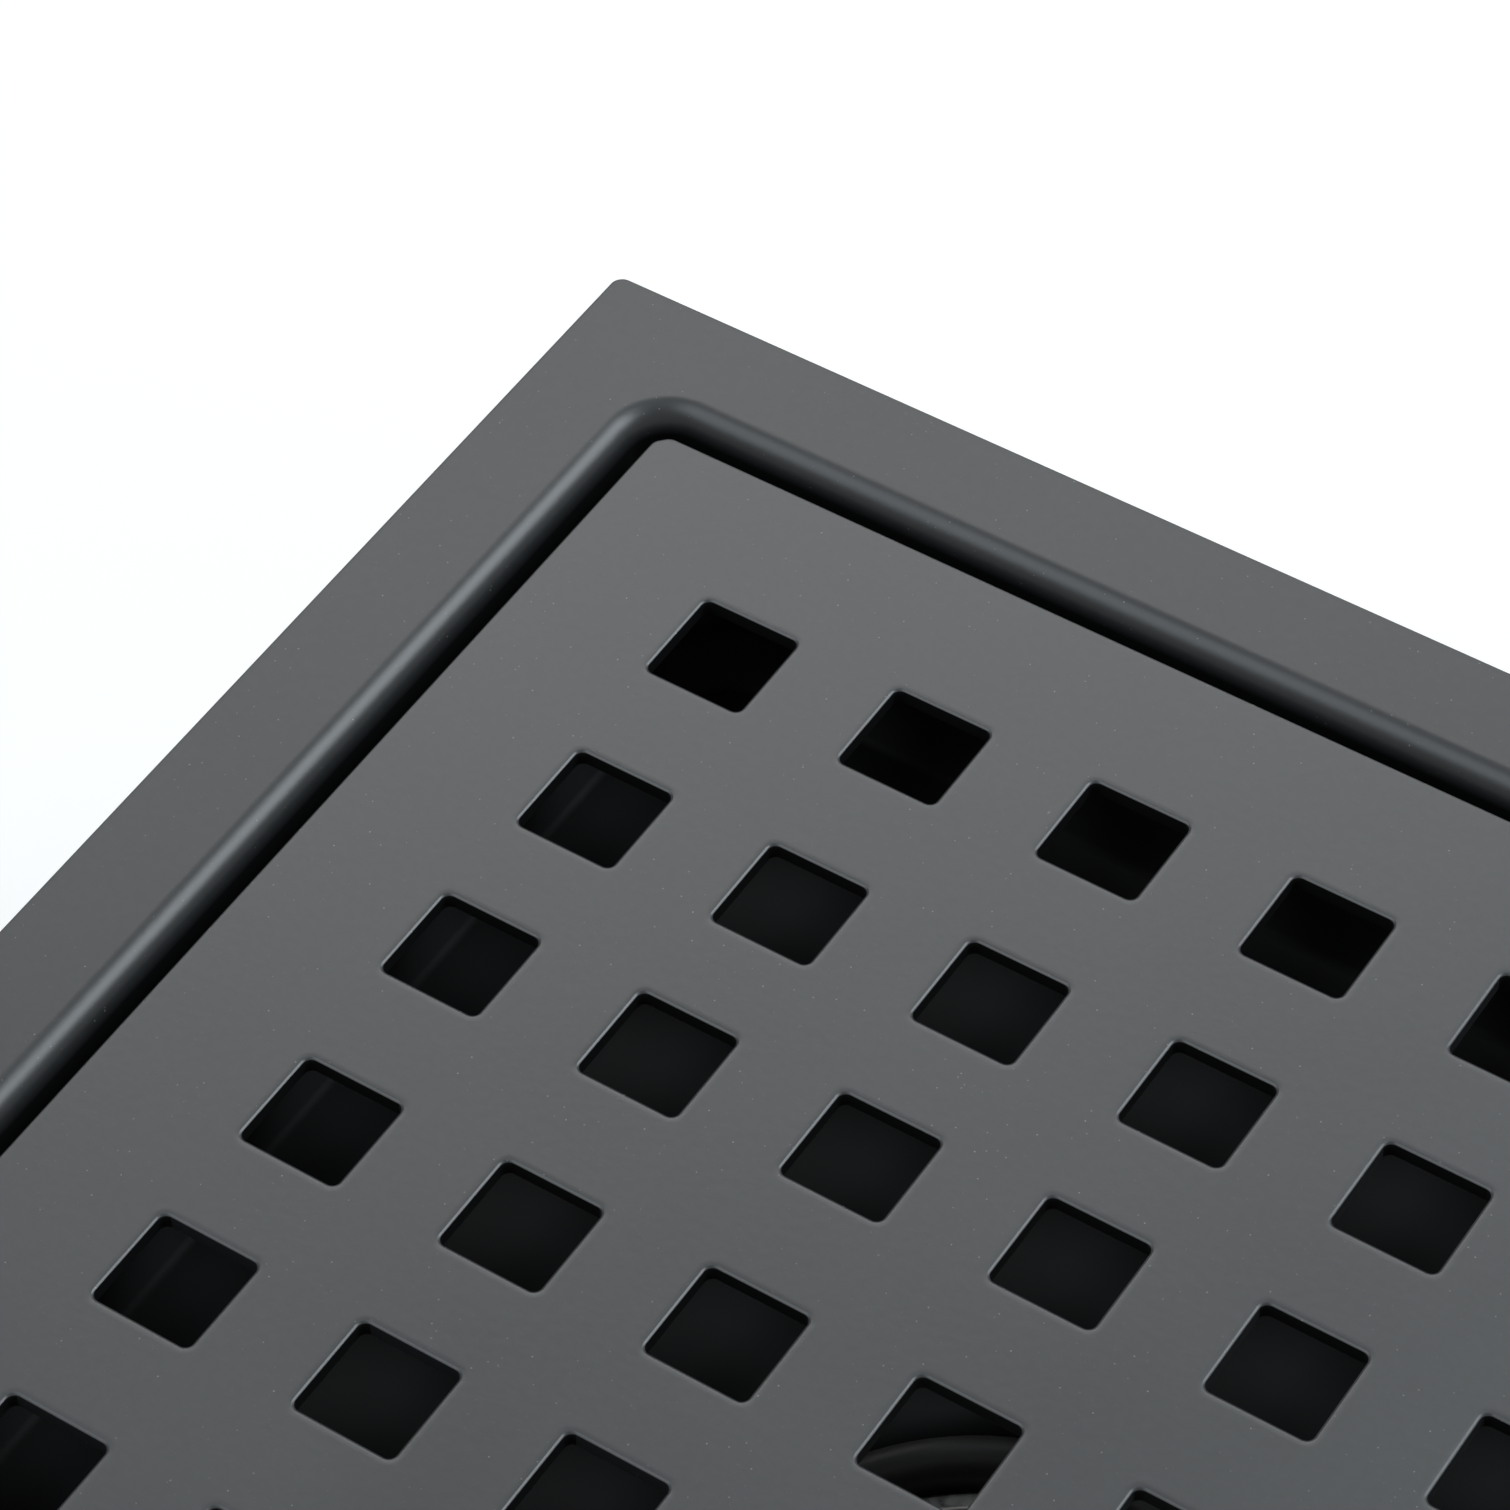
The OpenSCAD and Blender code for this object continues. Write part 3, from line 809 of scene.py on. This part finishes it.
hole_section += arc(slope_foot, punch_edge_r, slope_end, 180, slope_steps)
hole_section += arc(break_place, hole_break, 180, 270, break_steps)
hole_loops = [loop(half, z, hole_centre, hole_sides, hole_corners) for half, z in hole_section]


def shifted(points, x, y):
    """A loop moved in plan."""
    return [(point[0] + x, point[1] + y, point[2]) for point in points]


def bands(shape, rings):
    """Adds quads between each ring and the next one."""
    points, faces = shape
    count = len(rings[0])
    start = len(points)
    for ring in rings:
        points.extend(ring)
    for i in range(len(rings) - 1):
        for j in range(count):
            here = start + i * count
            ahead = (j + 1) % count
            faces.append((here + j, here + ahead, here + count + ahead, here + count + j))


print("loops in one hole:", len(hole_loops))

# %% [markdown]
# Round the field of tiles runs a plain margin. Its outline is a square with clipped corners whose
# ends are rounded, and the edge is a crisp cut with the least of rounds on it.

# %% Grate
clip_steps = 6

plate = ([], [])
for column in range(hole_count):
    for row in range(hole_count):
        tile_x = column * hole_pitch - hole_last
        tile_y = hole_last - row * hole_pitch
        odd = row % 2
        hole = [shifted(ring, tile_x + odd * row_shift, tile_y - odd * row_drop) for ring in hole_loops]
        top = shifted(tile_border(grate_z), tile_x, tile_y)
        foot = shifted(tile_border(grate_under_z), tile_x, tile_y)
        bands(plate, [top] + hole + [foot])

margin_steps = hole_count * tile_points
margin_line = [-field_half + tile_gap * step for step in range(margin_steps + 1)]
corner_side = grate_half - grate_corner_r
corner_tip = grate_half - grate_clip - grate_corner_r * (math.sqrt(2) - 1)


def plate_outline(inset, z):
    """The plate's outline, a little inside its edge, with a point for every tile point."""
    side = [(grate_half - inset, y) for y in margin_line]
    side += arc((corner_side, corner_tip), grate_corner_r - inset, 0, 45, clip_steps)
    side += arc((corner_tip, corner_side), grate_corner_r - inset, 45, 90, clip_steps)
    return quarters(side, z)


def margin(shape, z):
    """The flat strip between the tiles and the rounded edge, on one face of the plate."""
    points, faces = shape
    inner = quarters([(field_half, y) for y in margin_line], z)
    outline = plate_outline(grate_edge_r + flat_w, z)
    inner_count = len(inner) // 4
    outer_count = len(outline) // 4
    for quarter in range(4):
        start = len(points)
        outer = start + inner_count
        points.extend(inner[quarter * inner_count:(quarter + 1) * inner_count])
        points.extend(outline[quarter * outer_count:(quarter + 1) * outer_count])
        points.append(outline[(quarter + 1) * outer_count % len(outline)])
        for step in range(margin_steps):
            faces.append((start + step, outer + step, outer + step + 1, start + step + 1))
        for step in range(margin_steps, outer_count):
            faces.append((start + margin_steps, outer + step, outer + step + 1))


margin(plate, grate_z)
margin(plate, grate_under_z)
top_edge = arc((0, grate_z - grate_edge_r), grate_edge_r, 90, 0, edge_steps)
foot_edge = arc((0, grate_under_z + grate_edge_r), grate_edge_r, 0, -90, edge_steps)
edge_section = [(-flat_w, grate_z)] + top_edge + foot_edge + [(-flat_w, grate_under_z)]
bands(plate, [plate_outline(grate_edge_r - out, z) for out, z in edge_section])
grate = make_object("grate_plate", plate)
fit(grate, plate_coating, "drain", "coating", "grate")

# %% [markdown]
# The legs. Four short strips folded to an L are welded under the plate and stand on the ledge. Each
# is one outline, with the fold as two arcs, pulled out along the plate's edge. A bevel rounds the
# sheared edges.

# %% Legs
leg_t = 1.0
leg_len = 24
leg_flange = 6.6
leg_bend_r = 0.8
leg_bend_steps = 10
sheared_r = 0.15

legs_low, legs_high = span("grate_legs")
leg_y = legs_high.y
leg_x = legs_high.x - leg_len / 2
leg_foot = legs_low.z
leg_top = legs_high.z


def extruded(outline, start, end, place=lambda u, v, w: (u, v, w)):
    """A flat outline pulled out from start to end. Place says which way its axes lie."""
    count = len(outline)
    points = [place(u, v, w) for w in (start, end) for u, v in outline]
    faces = [tuple(range(count)), tuple(range(2 * count - 1, count - 1, -1))]
    for i in range(count):
        ahead = (i + 1) % count
        faces.append((i, ahead, count + ahead, count + i))
    return points, faces


def together(shapes):
    """Several shapes as one."""
    points = []
    faces = []
    for more_points, more_faces in shapes:
        start = len(points)
        points.extend(more_points)
        faces.extend(tuple(start + i for i in face) for face in more_faces)
    return points, faces


leg_section = rounded([
    (leg_y - leg_flange, leg_top - leg_t, 0),
    (leg_y - leg_t, leg_top - leg_t, leg_bend_r),
    (leg_y - leg_t, leg_foot, 0),
    (leg_y, leg_foot, 0),
    (leg_y, leg_top, leg_bend_r + leg_t),
    (leg_y - leg_flange, leg_top, 0),
], leg_bend_steps)
legs = []
for side in (-1, 1):
    for end in (-1, 1):
        start = end * leg_x - leg_len / 2
        stop = end * leg_x + leg_len / 2
        legs.append(extruded(leg_section, start, stop, lambda u, v, w, side=side: (w, side * u, v)))
feet = make_object("legs", together(legs))
soften(feet, sheared_r)
fit(feet, plate_coating, "drain", "coating", "grate_legs")

# %% [markdown]
# The outlet tube is a plain turned section with a deburred end. Its top is cut at a slant, which
# leaves room for the weld's root.

# %% Outlet tube
tube_steps = 144
tube_inner_edge_r = 0.3
tube_outer_edge_r = 0.45
tube_top_gap = 0.3

tube_low, tube_high = span("outlet_tube")
tube_end_z = tube_low.z
under_z = tube_high.z
tube = make_object("tail_tube", turned(rounded([
    (tube_bore_r, tube_end_z, tube_inner_edge_r),
    (tube_r, tube_end_z, tube_outer_edge_r),
    (tube_r, under_z - tube_top_gap, 0),
    (tube_bore_r, under_z - 2 * tube_top_gap, 0),
]), tube_steps))
fit(tube, tray_coating, "drain", "coating", "outlet_tube")

# %% [markdown]
# The weld that joins the tube to the tray is a bead laid by hand: a row of small ripples, each one
# lapped over the last. A smooth fillet would look moulded, so the bead's section swells and shrinks
# along the joint, and two slow waves stand for the hand that wandered a little.

# %% Weld bead
bead_ripples = 74
ripple_steps = 8
ripple_height = 0.13
ripple_lap = 0.6
bead_bulge = 0.34
bead_steps = 9
bead_root = 0.25
bead_waves = ((0.05, 5, 1), (0.04, 13, 0))

bead_rings = []
for step in range(bead_ripples * ripple_steps):
    angle = math.tau * step / (bead_ripples * ripple_steps)
    phase = step % ripple_steps / ripple_steps
    wander = sum(height * math.sin(count * angle + start) for height, count, start in bead_waves)
    swell = bead_bulge + ripple_height * (math.sin(math.pi * phase ** ripple_lap) - 0.5) + wander
    ring = [(tube_r - bead_root, under_z - weld_leg), (tube_r - bead_root, under_z + bead_root / 2)]
    for j in range(bead_steps + 1):
        share = 1 - j / bead_steps
        out = swell * math.sin(math.pi * share) / math.sqrt(2)
        ring.append((tube_r + weld_leg * share + out, under_z - weld_leg * (1 - share) - out))
    bead_rings.append(upright(ring, angle))
bead = make_object("weld_bead", skin(bead_rings))
fit(bead, tray_coating, "drain", "coating")

# %% [markdown]
# The trap housing. A moulded cup without a bottom hangs in the neck by its round lip. It has a
# groove for the seal, and below it narrows to the valve seat. Three arms hold the guide for the
# stem.

# %% Trap sizes
lip_r = 1.4
lip_inset = 1.2
lip_steps = 24
housing_gap = 1.0
shoulder_w = 0.8
shoulder_drop = 2.4
shoulder_edge_r = 0.12
seat_r = 11.6
seat_w = 2.2
seat_h = 1.2
taper_h = 6
guide_lift = 3
guide_h = 2.5
guide_hub_r = 4.0
guide_steps = 48
guide_arms = 3
guide_arm_w = 1.8
arm_overlap = 1
stem_r = 1.6
stem_clear = 0.08
groove_depth = 1.1
groove_edge_r = 0.1
moulded_r = 0.3
moulded_edge_r = 0.15

housing_low, housing_high = span("trap_housing")
seal_low, seal_high = span("housing_seal")
seat_z = housing_low.z
seat_top_z = seat_z + seat_h
taper_z = seat_z + taper_h
lip_centre = neck_r - lip_inset
lip_z = housing_high.z - lip_r
housing_r = neck_r - housing_gap
mouth_r = lip_centre - lip_r
cup_r = mouth_r - shoulder_w
shoulder_z = floor_z - shoulder_drop
guide_z = seat_z + guide_lift
guide_top_z = guide_z + guide_h
guide_bore_r = stem_r + stem_clear
groove_r = housing_r - groove_depth
lip_drop = math.sqrt(lip_r ** 2 - (housing_r - lip_centre) ** 2)
lip_start = -math.degrees(math.asin(lip_drop / lip_r))
print("throat", round(2 * mouth_r, 2), "mm, cup", round(2 * cup_r, 2), "mm across")

# %% [markdown]
# The turned shell, the hub and the arms are made apart and joined with a boolean, as the mould joins
# them, and a small bevel stands for the radius that every moulded edge has. The last two corners of
# the shell's inside only aim the arcs before them, so they are left off.

# %% Trap housing
shell_section = rounded([
    (cup_r, taper_z, moulded_r),
    (seat_r, seat_top_z, moulded_r),
    (seat_r, seat_z, moulded_r),
    (seat_r + seat_w, seat_z, moulded_r),
    (seat_r + seat_w, seat_top_z, moulded_r),
    (housing_r, taper_z, moulded_r),
    (housing_r, seal_low.z, groove_edge_r),
    (groove_r, seal_low.z, groove_edge_r),
    (groove_r, seal_high.z, groove_edge_r),
    (housing_r, seal_high.z, groove_edge_r),
])
shell_section += arc((lip_centre, lip_z), lip_r, lip_start, 180, lip_steps)
shell_section += rounded([
    (mouth_r, shoulder_z, shoulder_edge_r),
    (cup_r, shoulder_z, shoulder_edge_r),
    (cup_r, taper_z, 0),
    (mouth_r, lip_z, 0),
])[:-2]
housing = make_object("trap_shell", turned(shell_section))
hub = make_object("hub", turned([
    (guide_bore_r, guide_z),
    (guide_hub_r, guide_z),
    (guide_hub_r, guide_top_z),
    (guide_bore_r, guide_top_z),
], guide_steps))


def spokes(count, start, end, width, low, high):
    """Straight bars that run outwards from the axis, spread evenly round it."""
    side = width / 2
    plan = [(start, -side), (end, -side), (end, side), (start, side)]
    return together([extruded(swung(plan, math.tau * i / count), low, high) for i in range(count)])


arm_start = guide_hub_r - arm_overlap
arm_end = cup_r + (housing_r - cup_r) / 4
arms = spokes(guide_arms, arm_start, arm_end, guide_arm_w, guide_z, guide_top_z)
combine(hub, make_object("arms", arms), "UNION")
combine(housing, hub, "UNION")
soften(housing, moulded_edge_r)
fit(housing, moulding, "drain", "moulding", "trap_housing")

# %% [markdown]
# The seal sits in the groove and closes the gap to the outlet tube with two thin fins. The gasket is
# a plain washer on the valve's disc. Both are turned sections with soft corners.

# %% Seal and gasket
fin_count = 2
fin_h = 1.6
fin_tip = 0.4
fin_tip_r = 0.17
seal_corner_r = 0.2
gasket_edge_r = 0.35
bore_edge_r = 0.1

fin_r = seal_high.x
fin_pitch = (seal_high.z - seal_low.z) / fin_count
seal_section = [(groove_r, seal_low.z, seal_corner_r)]
for fin in range(fin_count):
    root = seal_low.z + fin * fin_pitch
    seal_section += [
        (housing_r, root, seal_corner_r),
        (fin_r, root + fin_h, fin_tip_r),
        (fin_r, root + fin_h + fin_tip, fin_tip_r),
        (housing_r, root + fin_h, seal_corner_r),
    ]
seal_section += [(housing_r, seal_high.z, seal_corner_r), (groove_r, seal_high.z, seal_corner_r)]
seal = make_object("seal_sleeve", turned(rounded(seal_section)))
fit(seal, silicone, "drain", "silicone", "housing_seal")


def washer(radius, low, high, edge_r):
    """A flat ring round the stem."""
    return turned(rounded([
        (stem_r, low, bore_edge_r),
        (radius, low, edge_r),
        (radius, high, edge_r),
        (stem_r, high, bore_edge_r),
    ]))


gasket_low, gasket_high = span("valve_gasket")
gasket = make_object("gasket", washer(gasket_high.x, gasket_low.z, gasket_high.z, gasket_edge_r))
fit(gasket, silicone, "valve", "silicone", "valve_gasket")

# %% [markdown]
# The hair basket is a small pressed cup with rings of drilled holes, seen through the middle holes of
# the grate. Its section reaches the axis, so it is turned with an open section. The holes are cut
# with one boolean, and a fine bevel breaks their edges.

# %% Hair basket
basket_t = 0.6
basket_gap = 0.25
basket_bend_r = 1.0
basket_fold_r = 0.1
basket_under_r = 0.15
basket_top_r = 0.25
basket_mouth_r = 0.5
basket_hole_d = 2.2
drill_steps = 24
basket_ring_pitch = 3.6
basket_ring_holes = (1, 6, 12, 18)
drill_over = 1
drilled_edge_r = 0.07
drilled_corner = 50


def turned_solid(section, steps=turn_steps):
    """A section that starts and ends on the axis, carried round it."""
    points, faces = turned(section, steps)
    count = len(section)
    kept = [face for i, face in enumerate(faces) if i % count != count - 1]
    return points, kept


basket_low, basket_high = span("hair_basket")
basket_z = basket_low.z
basket_floor_z = basket_z + basket_t
basket_rim_z = basket_high.z
basket_rim_r = basket_high.x
basket_r = cup_r - basket_gap
basket = make_object("basket", turned_solid(rounded([
    (0, basket_z, 0),
    (basket_r, basket_z, basket_bend_r),
    (basket_r, basket_rim_z - basket_t, basket_fold_r),
    (basket_rim_r, basket_rim_z - basket_t, basket_under_r),
    (basket_rim_r, basket_rim_z, basket_top_r),
    (basket_r - basket_t, basket_rim_z, basket_mouth_r),
    (basket_r - basket_t, basket_floor_z, basket_bend_r - basket_t),
    (0, basket_floor_z, 0),
])))
drills = []
for ring, holes in enumerate(basket_ring_holes):
    for step in range(holes):
        turn = math.tau * step / holes
        centre = (ring * basket_ring_pitch * math.cos(turn), ring * basket_ring_pitch * math.sin(turn))
        circle = arc(centre, basket_hole_d / 2, 0, 360, drill_steps)[:-1]
        drills.append(extruded(circle, basket_z - drill_over, basket_floor_z + drill_over))
combine(basket, make_object("drills", together(drills)), "DIFFERENCE")
soften(basket, drilled_edge_r, drilled_corner)
fit(basket, steel, "drain", "steel", "hair_basket")

# %% [markdown]
# The valve hangs under the seat. Its disc has six ribs below, which keep it flat. The valve's
# pieces ride on a body of their own, so they drop together.

# %% Valve disc
disc_edge_r = 0.3
disc_ribs = 6
disc_rib_h = 1.6
disc_rib_t = 1.2
rib_margin = 0.6

disc_low, disc_high = span("valve_disc")
stem_low, stem_high = span("valve_stem")
disc_r = disc_high.x
disc_top_z = disc_high.z
disc_z = disc_low.z + disc_rib_h
rib_top_z = (disc_z + disc_top_z) / 2
stem_head_r = stem_high.x
disc = make_object("disc", washer(disc_r, disc_z, disc_top_z, disc_edge_r))
rib_start = stem_head_r + rib_margin
rib_end = disc_r - rib_margin
ribs = spokes(disc_ribs, rib_start, rib_end, disc_rib_t, disc_z - disc_rib_h, rib_top_z)
combine(disc, make_object("ribs", ribs), "UNION")
soften(disc, moulded_edge_r)
fit(disc, moulding, "valve", "moulding", "valve_disc")

# %% [markdown]
# A headed stem goes up through the disc. A clip in a groove near its top holds the cap that the
# spring pushes on. The stem and the cap are turned, and the clip is stamped from sheet, with a slot.

# %% Stem, cap and clip
stem_steps = 48
head_dent_r = 0.8
head_dent_h = 0.4
head_dent_edge_r = 0.2
head_foot_r = 0.4
head_top_r = 0.15
groove_nick_r = 0.05
stem_tip_r = 0.35
clip_groove = 0.35
cap_steps = 64
cap_rim_h = 1.4
cap_boss_r = 2.3
cap_boss_edge_r = 0.2
cap_under_r = 0.25
cap_top_r = 0.4
slot_share = 1.7
clip_outer_steps = 40
clip_inner_steps = 24
stamped_edge_r = 0.08

clip_low, clip_high = span("stem_clip")
cap_low, cap_high = span("spring_cap")
clip_r = clip_high.y
clip_bore_r = stem_r - clip_groove
stem = make_object("stem", turned_solid(rounded([
    (0, stem_low.z + head_dent_h, 0),
    (head_dent_r, stem_low.z, head_dent_edge_r),
    (stem_head_r, stem_low.z, head_foot_r),
    (stem_head_r, disc_z, head_top_r),
    (stem_r, disc_z, bore_edge_r),
    (stem_r, clip_low.z, groove_nick_r),
    (clip_bore_r, clip_low.z, groove_nick_r),
    (clip_bore_r, clip_high.z, groove_nick_r),
    (stem_r, clip_high.z, groove_nick_r),
    (stem_r, stem_high.z, stem_tip_r),
    (0, stem_high.z, 0),
]), stem_steps))
fit(stem, steel, "valve", "steel", "valve_stem")

cap_r = cap_high.x
cap_z = clip_low.z - cap_rim_h
cap = make_object("cap", turned(rounded([
    (stem_r, cap_low.z, bore_edge_r),
    (cap_boss_r, cap_low.z, cap_boss_edge_r),
    (cap_boss_r, cap_z, bore_edge_r),
    (cap_r, cap_z, cap_under_r),
    (cap_r, cap_high.z, cap_top_r),
    (stem_r, cap_high.z, bore_edge_r),
]), cap_steps))
fit(cap, moulding, "valve", "moulding", "spring_cap")

slot_half = slot_share * clip_bore_r / 2
outer_start = math.degrees(math.asin(slot_half / clip_r))
inner_start = math.degrees(math.asin(slot_half / clip_bore_r))
clip_plan = arc((0, 0), clip_r, outer_start, 360 - outer_start, clip_outer_steps)
clip_plan += arc((0, 0), clip_bore_r, 360 - inner_start, inner_start, clip_inner_steps)
clip = make_object("clip", extruded(clip_plan, clip_low.z, clip_high.z))
soften(clip, stamped_edge_r)
fit(clip, steel, "valve", "steel", "stem_clip")

# %% [markdown]
# The spring. A real compression spring has its end turns closed, so that it stands flat, and only
# the turns between them are open. The wire's height is the sum of small rises along the coil, slow in
# the end turns and fast in the middle. In the real drain the coil is pressed towards the guide when
# the valve opens; here it is made at its rest length.

# %% Spring
wire_d = 0.6
spring_mean_r = 2.9
spring_turns = 6
closed_turns = 0.8
closed_pitch = 1.02
opening_turns = 0.25
turn_rings = 30
wire_sides = 12

spring_low, spring_high = span("valve_spring")
spring_len = spring_high.z - spring_low.z
rings_in_all = spring_turns * turn_rings
rises = []
for step in range(rings_in_all):
    turns = (step + 0.5) / turn_rings
    opened = min(turns, spring_turns - turns) - closed_turns
    rises.append(0.0 if opened < 0 else min(1.0, opened / opening_turns))
closed_rise = wire_d * closed_pitch / turn_rings
open_rise = (spring_len - wire_d - closed_rise * (rings_in_all - sum(rises))) / sum(rises)
spring_rings = []
height = spring_low.z + wire_d / 2
for step in range(rings_in_all + 1):
    wire = arc((spring_mean_r, height), wire_d / 2, 0, 360, wire_sides)[:-1]
    spring_rings.append(upright(wire, math.tau * step / turn_rings))
    if step < rings_in_all:
        height += closed_rise * (1 - rises[step]) + open_rise * rises[step]
coil = ([], [])
bands(coil, spring_rings)
coil[1].append(tuple(range(wire_sides)))
coil[1].append(tuple(range(rings_in_all * wire_sides, (rings_in_all + 1) * wire_sides)))
spring = make_object("spring", coil)
fit(spring, steel, "drain", "steel", "valve_spring")
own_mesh(spring)
